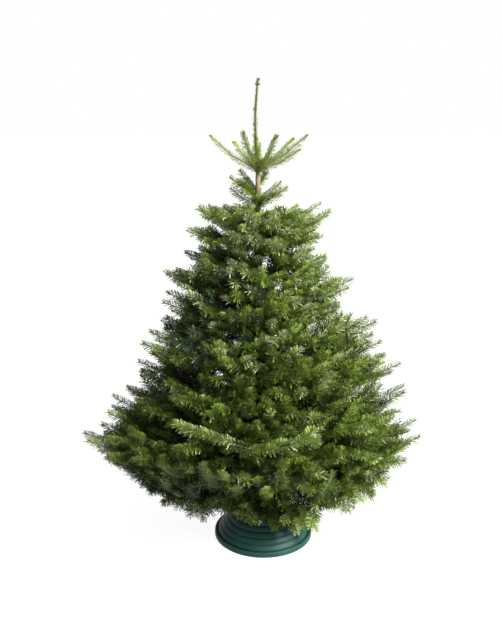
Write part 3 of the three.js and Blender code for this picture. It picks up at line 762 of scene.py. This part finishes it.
def buds():
    """An egg-shaped end bud with two smaller ones at its sides on every last year's shoot."""
    rs = np.random.RandomState(77)
    mine = [s for s in SHOOTS if s.end]
    p1 = np.array([s.p1 for s in mine]); bend = np.array([s.bend for s in mine]); p0 = np.array([s.p0 for s in mine])
    up = np.array([s.up for s in mine]); main = np.array([s.order <= 1 for s in mine])
    d = norm_rows(p1 - p0 - 4 * bend)
    side = norm_rows(np.cross(d, up)); u = np.cross(side, d)
    big = np.where(main, 1.00, 0.75) * rs.uniform(0.85, 1.15, len(mine))
    parts = []

    def egg(at, along, s, t, length, r, number):
        n = len(at)
        ang = np.arange(4) * math.pi / 2
        ring = s[:, None, :] * np.cos(ang)[None, :, None] + t[:, None, :] * np.sin(ang)[None, :, None]
        v = np.concatenate([
            at[:, None, :] + ring * (r * 0.72)[:, None, None],
            (at + along * (length * 0.45)[:, None])[:, None, :] + ring * r[:, None, None],
            (at + along * length[:, None])[:, None, :],
        ], axis=1)
        b = (np.arange(n) * 9)[:, None, None]
        j = np.arange(4); j2 = (j + 1) % 4
        quads = np.stack([j, j2, 4 + j2, 4 + j], axis=-1)[None] + b
        tris = np.stack([4 + j, 4 + j2, np.full(4, 8)], axis=-1)[None] + b
        quads = quads.reshape(-1, 4)
        tris = tris.reshape(-1, 3)
        split = np.concatenate([quads[:, [0, 1, 2]], quads[:, [0, 2, 3]]])
        parts.append((v.reshape(-1, 3), np.concatenate([split, tris]), number))

    egg(p1 - d * 0.001, d, side, u, 0.0072 * big, 0.0029 * big, 0)
    few = main
    for s in (-1, 1):
        out = norm_rows(d * 0.8 + side * s * 0.75)
        sd = norm_rows(np.cross(out, u)); uu = np.cross(sd, out)
        egg((p1 - d * 0.002 + side * s * 0.0018)[few], out[few], sd[few], uu[few], (0.0052 * big)[few], (0.0022 * big)[few], 1)
    # the cluster of buds near the leader's tip, and the ones round its top
    rng = random.Random(3)
    at, along = [], []
    for z, count, r in ((1.7775, 5, 0.0046), (1.795, 3, 0.0030), (1.690, 1, 0.004), (1.640, 2, 0.0042), (1.590, 1, 0.0045)):
        for m in range(count):
            az = m * 2 * math.pi / count + (0.1 if count > 3 else rng.uniform(0, 6))
            at.append(axis_at(z) + polar(az, r, rng.uniform(-0.001, 0.001)))
            along.append(unit(polar(az, 0.75, 0.8)))
    at, along = np.array(at), np.array(along)
    s = norm_rows(np.cross(along, np.array([[0.0, 0.0, 1.0]]))); t = np.cross(s, along)
    egg(at, along, s, t, np.full(len(at), 0.0082), np.full(len(at), 0.0032), 0)
    v, f, index = stack_parts(parts)
    ob = mesh_object("buds", v, f, smooth=True, material_index=index, materials=BUD_MATS)
    place(ob)


buds()


# ---------------------------------------------------------------- bark
def node(tree, kind, **values):
    n = tree.nodes.new(kind)
    for k, v in values.items():
        if k.startswith("in_"):
            n.inputs[k[3:].replace("_", " ")].default_value = v
        else:
            setattr(n, k, v)
    return n


def ramp(tree, stops):
    n = tree.nodes.new("ShaderNodeValToRGB")
    e = n.color_ramp.elements
    while len(e) < len(stops):
        e.new(0.5)
    for i, (at, colour) in enumerate(stops):
        e[i].position = at
        e[i].color = (*colour, 1)
    return n


def bark_material(name, by_height, roughness=0.85, bump=0.35):
    """Smooth grey-brown fir bark with lighter lichen-grey patches and fine cross wrinkles."""
    m = bpy.data.materials.new(name)
    m.use_nodes = True
    tree = m.node_tree
    link = tree.links.new
    p = tree.nodes["Principled BSDF"]
    p.inputs["Specular IOR Level"].default_value = 0.25
    where = node(tree, "ShaderNodeTexCoord")
    stretch = node(tree, "ShaderNodeMapping")
    stretch.inputs["Scale"].default_value = (1.0, 1.0, 0.45)
    link(where.outputs["Object"], stretch.inputs["Vector"])
    patches = node(tree, "ShaderNodeTexNoise", in_Scale=42.0, in_Detail=5.0, in_Roughness=0.6)
    link(stretch.outputs["Vector"], patches.inputs["Vector"])
    mottled = ramp(tree, [(0.30, (0.55, 0.52, 0.50)), (0.52, (1.0, 1.0, 1.0)), (0.72, (1.45, 1.42, 1.38))])
    link(patches.outputs["Fac"], mottled.inputs["Fac"])
    if by_height:
        split = node(tree, "ShaderNodeSeparateXYZ")
        link(where.outputs["Object"], split.inputs["Vector"])
        share = node(tree, "ShaderNodeMath", operation="DIVIDE")
        share.inputs[1].default_value = TOP
        link(split.outputs["Z"], share.inputs[0])
        ground = ramp(tree, [
            (0.00, (0.060, 0.045, 0.032)), (0.45, (0.066, 0.049, 0.034)), (0.66, (0.074, 0.050, 0.031)), (0.745, (0.088, 0.062, 0.034)),
            (0.780, (0.110, 0.085, 0.044)), (0.812, (0.210, 0.170, 0.092)), (0.826, (0.110, 0.048, 0.022)), (0.836, (0.070, 0.066, 0.024)),
            (0.93, (0.048, 0.052, 0.018)), (0.982, (0.060, 0.050, 0.022)), (0.987, (0.110, 0.044, 0.018)), (0.992, (0.100, 0.105, 0.036)),
        ])
        link(share.outputs[0], ground.inputs["Fac"])
        colour = ground.outputs["Color"]
    else:
        ground = ramp(tree, [(0.35, (0.052, 0.041, 0.030)), (0.65, (0.080, 0.057, 0.035))])
        big = node(tree, "ShaderNodeTexNoise", in_Scale=9.0, in_Detail=2.0)
        link(where.outputs["Object"], big.inputs["Vector"])
        link(big.outputs["Fac"], ground.inputs["Fac"])
        colour = ground.outputs["Color"]
    mix = node(tree, "ShaderNodeMix", data_type="RGBA", blend_type="MULTIPLY")
    mix.inputs[0].default_value = 0.8
    link(colour, mix.inputs[6])
    link(mottled.outputs["Color"], mix.inputs[7])
    link(mix.outputs[2], p.inputs["Base Color"])
    rough = node(tree, "ShaderNodeMapRange")
    rough.inputs["To Min"].default_value = roughness - 0.12
    rough.inputs["To Max"].default_value = roughness + 0.10
    link(patches.outputs["Fac"], rough.inputs["Value"])
    link(rough.outputs["Result"], p.inputs["Roughness"])
    wrinkle = node(tree, "ShaderNodeTexNoise", in_Scale=230.0, in_Detail=3.0)
    link(stretch.outputs["Vector"], wrinkle.inputs["Vector"])
    b = node(tree, "ShaderNodeBump", in_Strength=bump, in_Distance=0.0015)
    link(wrinkle.outputs["Fac"], b.inputs["Height"])
    link(b.outputs["Normal"], p.inputs["Normal"])
    return m


def rings_to_mesh(rings, cap_start=True, cap_end=True):
    """rings (k, sides, 3) to vertices and faces, with a fan at each end."""
    k, sides, _ = rings.shape
    v = rings.reshape(-1, 3)
    i = np.arange(k - 1)[:, None] * sides
    j = np.arange(sides)[None, :]
    j2 = (j + 1) % sides
    q = np.stack([i + j, i + j2, i + sides + j2, i + sides + j], axis=-1).reshape(-1, 4)
    faces = [np.concatenate([q[:, [0, 1, 2]], q[:, [0, 2, 3]]])]
    extra = []
    if cap_start:
        c = len(v) + len(extra); extra.append(rings[0].mean(0))
        faces.append(np.stack([np.full(sides, c), (np.arange(sides) + 1) % sides, np.arange(sides)], axis=-1))
    if cap_end:
        c = len(v) + len(extra); extra.append(rings[-1].mean(0)); b = (k - 1) * sides
        faces.append(np.stack([np.full(sides, c), b + np.arange(sides), b + (np.arange(sides) + 1) % sides], axis=-1))
    if extra:
        v = np.concatenate([v, np.array(extra)])
    return v, np.concatenate(faces)


def trunk_piece():
    rs = np.random.RandomState(9)
    sides = 40
    z = np.concatenate([np.linspace(0.0063, 1.10, 120, endpoint=False), np.linspace(1.10, 1.7995, 190)])
    th = np.arange(sides) * 2 * math.pi / sides
    Z, T = np.meshgrid(z, th, indexing="ij")
    R = np.array([trunk_radius(h) for h in z])[:, None] * np.ones_like(T)
    relief = np.zeros_like(R)
    for _ in range(14):
        k, f, ph = rs.randint(1, 7), rs.uniform(15, 120), rs.uniform(0, 6.3)
        relief += 0.010 / (1 + 0.2 * k) * np.sin(k * T + f * Z * rs.choice([-1, 1]) + ph)
    R = R * (1 + relief)
    for w in WHORLS + [1.486]:
        R += 0.0014 * np.exp(-(((Z - w) / 0.009) ** 2)) * min(1.0, trunk_radius(w) / 0.012)

    def bump(z0, az, h, sz, width):
        gap = (T - az + math.pi) % (2 * math.pi) - math.pi
        arc = gap * trunk_radius(z0)
        return h * np.exp(-(((Z - z0) / sz) ** 2) - (arc / width) ** 2)

    for _, wood in BOUGHS:  # a collar where each bough leaves the trunk
        a, _b, b, r0, _r = wood[0]
        if a[2] < 1.40:
            R += bump(a[2], math.atan2(b[1] - a[1], b[0] - a[0]), 0.0028 + 0.25 * r0, 0.010, 0.011)
    for _ in range(150):  # resin blisters
        z0 = rs.uniform(0.20, 1.38)
        R += bump(z0, rs.uniform(0, 6.3), rs.uniform(0.0006, 0.0013), rs.uniform(0.003, 0.006), rs.uniform(0.003, 0.0045))
    for _ in range(40):  # scars of shed needles and short twigs
        z0 = rs.uniform(1.36, 1.48)
        R += bump(z0, rs.uniform(0, 6.3), 0.0007, 0.002, 0.002)
    cx = np.array([axis_at(h)[0] for h in z])[:, None]; cy = np.array([axis_at(h)[1] for h in z])[:, None]
    rings = np.stack([cx + R * np.cos(T), cy + R * np.sin(T), Z], axis=-1)
    v, f = rings_to_mesh(rings)
    ob = mesh_object("trunk_bark", v, f, smooth=True, materials=[bark_material("bark_trunk", True)])
    place(ob, ["trunk"])


trunk_piece()


def bough_piece():
    rs = np.random.RandomState(31)
    parts = []
    sides = 7
    ang = np.arange(sides) * 2 * math.pi / sides
    for _, wood in BOUGHS:
        pts, rad = [], []
        for k, (a, bend, b, r0, r1) in enumerate(wood):
            steps = max(2, int(np.linalg.norm(b - a) / 0.024))
            for s in range(steps + (k == len(wood) - 1)):
                t = s / steps
                pts.append(a + (b - a) * t + bend * 4 * t * (1 - t))
                node_swell = 1 + 0.22 * math.exp(-((t * steps) ** 2) / 1.2) * (k > 0)
                rad.append((r0 + (r1 - r0) * t) * node_swell * (1.35 - 0.35 * min(1, s / 3) if k == 0 else 1))
        pts = np.array(pts); rad = np.array(rad)
        d = np.gradient(pts, axis=0); d = norm_rows(d)
        ref = np.array([[0.0, 0.0, 1.0]]) * np.ones((len(pts), 1))
        s = norm_rows(np.cross(d, ref)); u = np.cross(s, d)
        wob = 1 + rs.uniform(-0.09, 0.09, (len(pts), sides))
        r = rad[:, None, None] * wob[:, :, None]
        rings = pts[:, None, :] + r * (s[:, None, :] * np.cos(ang)[None, :, None] + u[:, None, :] * np.sin(ang)[None, :, None])
        v, f = rings_to_mesh(rings)
        parts.append((v, f, 0))
    v, f, index = stack_parts(parts)
    ob = mesh_object("boughs", v, f, smooth=True, material_index=index, materials=[bark_material("bark_bough", False, 0.8)])
    place(ob, sorted(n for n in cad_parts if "_bough_" in n))


bough_piece()


# ---------------------------------------------------------------- stand
def rounded(points, steps=4):
    """points are (r, z, fillet). Each corner with a fillet becomes a short arc."""
    out = []
    n = len(points)
    for i, (r, z, fillet) in enumerate(points):
        if fillet <= 0 or i == 0 or i == n - 1:
            out.append((r, z))
            continue
        p = np.array([r, z]); a = np.array(points[i - 1][:2]); b = np.array(points[i + 1][:2])
        da, db = np.linalg.norm(a - p), np.linalg.norm(b - p)
        cut = min(fillet, da * 0.49, db * 0.49)
        p1, p2 = p + (a - p) / da * cut, p + (b - p) / db * cut
        for k in range(steps + 1):
            t = k / steps
            q = (1 - t) ** 2 * p1 + 2 * t * (1 - t) * p + t * t * p2
            out.append((float(q[0]), float(q[1])))
    return out


STAND_R, LIP_H, LIP_W = 0.199, 0.020, 0.009
CONE_R0, CONE_Z0, CONE_R1, CONE_Z1 = 0.183, 0.017, 0.098, 0.140
RIBS, RIB_OUT = 6, 0.0055
COLLAR_R, COLLAR_H, WELL_R_TOP, WELL_R_FLOOR, WELL_FLOOR, WALL = 0.099, 0.024, 0.084, 0.070, 0.006, 0.004


def cone_at(t, out):
    slope = math.atan2(CONE_Z1 - CONE_Z0, CONE_R0 - CONE_R1)
    return (CONE_R0 + (CONE_R1 - CONE_R0) * t + out * math.sin(slope), CONE_Z0 + (CONE_Z1 - CONE_Z0) * t + out * math.cos(slope))


def stand_material():
    """Dark teal moulded plastic, satin, with a fine grain and a little dust in its lighter patches."""
    m = bpy.data.materials.new("stand_teal")
    m.use_nodes = True
    tree = m.node_tree
    link = tree.links.new
    p = tree.nodes["Principled BSDF"]
    p.inputs["Specular IOR Level"].default_value = 0.20
    where = node(tree, "ShaderNodeTexCoord")
    cloud = node(tree, "ShaderNodeTexNoise", in_Scale=14.0, in_Detail=3.0)
    link(where.outputs["Object"], cloud.inputs["Vector"])
    tone = ramp(tree, [(0.30, (0.0045, 0.0290, 0.0235)), (0.70, (0.0070, 0.0365, 0.0300))])
    link(cloud.outputs["Fac"], tone.inputs["Fac"])
    link(tone.outputs["Color"], p.inputs["Base Color"])
    rough = node(tree, "ShaderNodeMapRange")
    rough.inputs["To Min"].default_value = 0.54
    rough.inputs["To Max"].default_value = 0.64
    link(cloud.outputs["Fac"], rough.inputs["Value"])
    link(rough.outputs["Result"], p.inputs["Roughness"])
    grain = node(tree, "ShaderNodeTexNoise", in_Scale=900.0, in_Detail=2.0)
    link(where.outputs["Object"], grain.inputs["Vector"])
    b = node(tree, "ShaderNodeBump", in_Strength=0.12, in_Distance=0.0004)
    link(grain.outputs["Fac"], b.inputs["Height"])
    link(b.outputs["Normal"], p.inputs["Normal"])
    return m


def stand_piece():
    profile = rounded([
        (0, 0, 0), (WELL_R_FLOOR + 0.001, 0, 0.002), (WELL_R_FLOOR + WALL, 0.003, 0.002), (WELL_R_TOP + WALL - 0.003, CONE_Z1 - 0.014, 0.004),
        (CONE_R1 - 0.005, CONE_Z1 - 0.010, 0.004), (CONE_R0 - WALL - 0.002, CONE_Z0 - 0.006, 0.003), (STAND_R - 0.005, 0.008, 0.002),
        (STAND_R - 0.004, 0.0, 0.0008), (STAND_R, 0.0, 0.0015), (STAND_R + 0.0002, LIP_H * 0.5, 0.004), (STAND_R - 0.0012, LIP_H, 0.006),
        (STAND_R - LIP_W, LIP_H, 0.004), (STAND_R - LIP_W - 0.003, CONE_Z0 - 0.003, 0.0025), (CONE_R0 + 0.0012, CONE_Z0 - 0.002, 0.0015),
    ])
    for k in range(RIBS):
        for s in (0.02, 0.10, 0.22, 0.36, 0.52, 0.68, 0.82, 0.92, 0.985):
            full = max(0.0, 1 - abs(2 * s - 1) ** 3.2) ** 0.5
            profile.append(cone_at((k + s) / RIBS, RIB_OUT * full * (1.0 - 0.14 * s)))
    profile += rounded([
        (CONE_R1 + 0.0002, CONE_Z1, 0), (COLLAR_R, CONE_Z1 + 0.001, 0.0006), (COLLAR_R, CONE_Z1 + COLLAR_H, 0.003), (WELL_R_TOP, CONE_Z1 + COLLAR_H, 0.003),
        (WELL_R_FLOOR, WELL_FLOOR, 0.006), (0.020, WELL_FLOOR, 0), (0, WELL_FLOOR, 0),
    ])
    prof = np.array(profile)
    sides = 120
    a = np.arange(sides) * 2 * math.pi / sides
    inner = prof[1:-1]
    rings = np.stack([inner[:, 0:1] * np.cos(a)[None], inner[:, 0:1] * np.sin(a)[None], inner[:, 1:2] * np.ones((1, sides))], axis=-1)
    v, f = rings_to_mesh(rings)
    ob = mesh_object("stand_shell", v, f, smooth=True, materials=[stand_material()])
    ob.data.set_sharp_from_angle(angle=math.radians(50))
    place(ob, ["stand"])


stand_piece()


def screw_material():
    """Zinc-plated steel, a little worn."""
    m = bpy.data.materials.new("screw_zinc")
    m.use_nodes = True
    tree = m.node_tree
    link = tree.links.new
    p = tree.nodes["Principled BSDF"]
    p.inputs["Metallic"].default_value = 1.0
    where = node(tree, "ShaderNodeTexCoord")
    wear = node(tree, "ShaderNodeTexNoise", in_Scale=160.0, in_Detail=4.0)
    link(where.outputs["Object"], wear.inputs["Vector"])
    tone = ramp(tree, [(0.35, (0.34, 0.34, 0.33)), (0.62, (0.58, 0.59, 0.60))])
    link(wear.outputs["Fac"], tone.inputs["Fac"])
    link(tone.outputs["Color"], p.inputs["Base Color"])
    rough = node(tree, "ShaderNodeMapRange")
    rough.inputs["To Min"].default_value = 0.48
    rough.inputs["To Max"].default_value = 0.26
    link(wear.outputs["Fac"], rough.inputs["Value"])
    link(rough.outputs["Result"], p.inputs["Roughness"])
    return m


def screw_pieces():
    zinc = screw_material()
    z = CONE_Z1 + COLLAR_H / 2
    centre = axis_at(z)
    for i in range(3):
        az = math.radians(90 + i * 120)
        out = polar(az, 1, 0)
        side = np.array([-math.sin(az), math.cos(az), 0.0])
        inner = centre[0] * math.cos(az) + centre[1] * math.sin(az) + trunk_radius(z - 0.004) + 0.0003
        parts = []

        def sweep(start, along, s, t, profile, sides):
            ang = np.arange(sides) * 2 * math.pi / sides
            pr = np.array(profile)
            rings = start[None, None, :] + along[None, None, :] * pr[:, 0][:, None, None] + pr[:, 1][:, None, None] * (s[None, None, :] * np.cos(ang)[None, :, None] + t[None, None, :] * np.sin(ang)[None, :, None])
            v, f = rings_to_mesh(rings)
            parts.append((v, f, 0))

        # the shaft: a blunt point on the trunk, thread, then a plain neck
        length = 0.128 - inner
        profile = [(0.0, 0.0022), (0.0012, 0.0033)]
        x = 0.002
        while x < length - 0.020:
            profile += [(x, 0.0035), (x + 0.0005, 0.0040), (x + 0.0009, 0.0040), (x + 0.0014, 0.0035)]
            x += 0.0019
        profile += [(length - 0.018, 0.0039), (length - 0.006, 0.0039), (length - 0.004, 0.0050), (length + 0.004, 0.0050), (length + 0.005, 0.0040)]
        sweep(polar(az, inner, z), out, side, UP, profile, 12)
        # the cross bar with round ends
        half = 0.019
        bar = [(-half, 0.0012), (-half + 0.0006, 0.0023), (-half + 0.0018, 0.0031), (-half + 0.004, 0.0032), (half - 0.004, 0.0032), (half - 0.0018, 0.0031), (half - 0.0006, 0.0023), (half, 0.0012)]
        sweep(polar(az, 0.128, z), side, out, UP, bar, 14)
        # the nut let into the collar
        nut = [(0.0, 0.0046), (0.0, 0.0078), (0.0006, 0.0084), (0.0024, 0.0084), (0.0030, 0.0078), (0.0030, 0.0046)]
        sweep(polar(az, COLLAR_R - 0.0004, z), out, side, UP, nut, 6)
        v, f, index = stack_parts(parts)
        ob = mesh_object("screw_%d" % (i + 1), v, f, smooth=True, material_index=index, materials=[zinc])
        ob.data.set_sharp_from_angle(angle=math.radians(35))
        place(ob, ["clamp_screw_%d" % (i + 1)])


screw_pieces()
print("all triangles", TRIANGLES)

# ---------------------------------------------------------------- stage, camera, light
bpy.ops.mesh.primitive_plane_add(size=60, location=(0, 0, 0))
floor = bpy.context.object
floor.name = "floor"
white = plain("floor_white", (0.12, 0.12, 0.12), 1.0, 0.0)
white.node_tree.nodes["Principled BSDF"].inputs["Emission Color"].default_value = (1, 1, 1, 1)
white.node_tree.nodes["Principled BSDF"].inputs["Emission Strength"].default_value = 0.90
floor.data.materials.append(white)

cam_data = bpy.data.cameras.new("camera")
cam = bpy.data.objects.new("camera", cam_data)
scene.collection.objects.link(cam)
cam_data.lens = 45.7
cam_data.sensor_width = 36
cam.location = (-0.05, -3.0, 1.78)
cam.rotation_euler = (math.radians(90 - 16.22), 0, 0)
scene.camera = cam

world = bpy.data.worlds.new("world") if not scene.world else scene.world
scene.world = world
world.use_nodes = True
bg = world.node_tree.nodes["Background"]
bg.inputs[1].default_value = 1.0
# a white backdrop behind the tree, a dimmer room before it
facing = node(world.node_tree, "ShaderNodeTexCoord")
parts_of = node(world.node_tree, "ShaderNodeSeparateXYZ")
world.node_tree.links.new(facing.outputs["Generated"], parts_of.inputs["Vector"])
room = node(world.node_tree, "ShaderNodeMapRange", interpolation_type="SMOOTHSTEP")
room.inputs["From Min"].default_value = -0.25
room.inputs["From Max"].default_value = 0.55
room.inputs["To Min"].default_value = 0.60
room.inputs["To Max"].default_value = 1.0
world.node_tree.links.new(parts_of.outputs["Y"], room.inputs["Value"])
world.node_tree.links.new(room.outputs["Result"], bg.inputs[0])


def sun(name, from_point, strength, angle, colour=(1, 1, 1)):
    l = bpy.data.lights.new(name, "SUN")
    l.energy = strength
    l.angle = math.radians(angle)
    l.color = colour
    o = bpy.data.objects.new(name, l)
    scene.collection.objects.link(o)
    o.rotation_euler = Vector(from_point).to_track_quat("Z", "Y").to_euler()
    return o


sun("key", (2.5, -1.8, 2.6), 14.0, 22, (1.0, 0.985, 0.94))
sun("top", (-0.2, -1.2, 3.0), 1.2, 50)
sun("behind", (-1.6, 2.4, 1.8), 1.3, 60)
scene.view_settings.view_transform = "Standard"
scene.view_settings.look = "None"
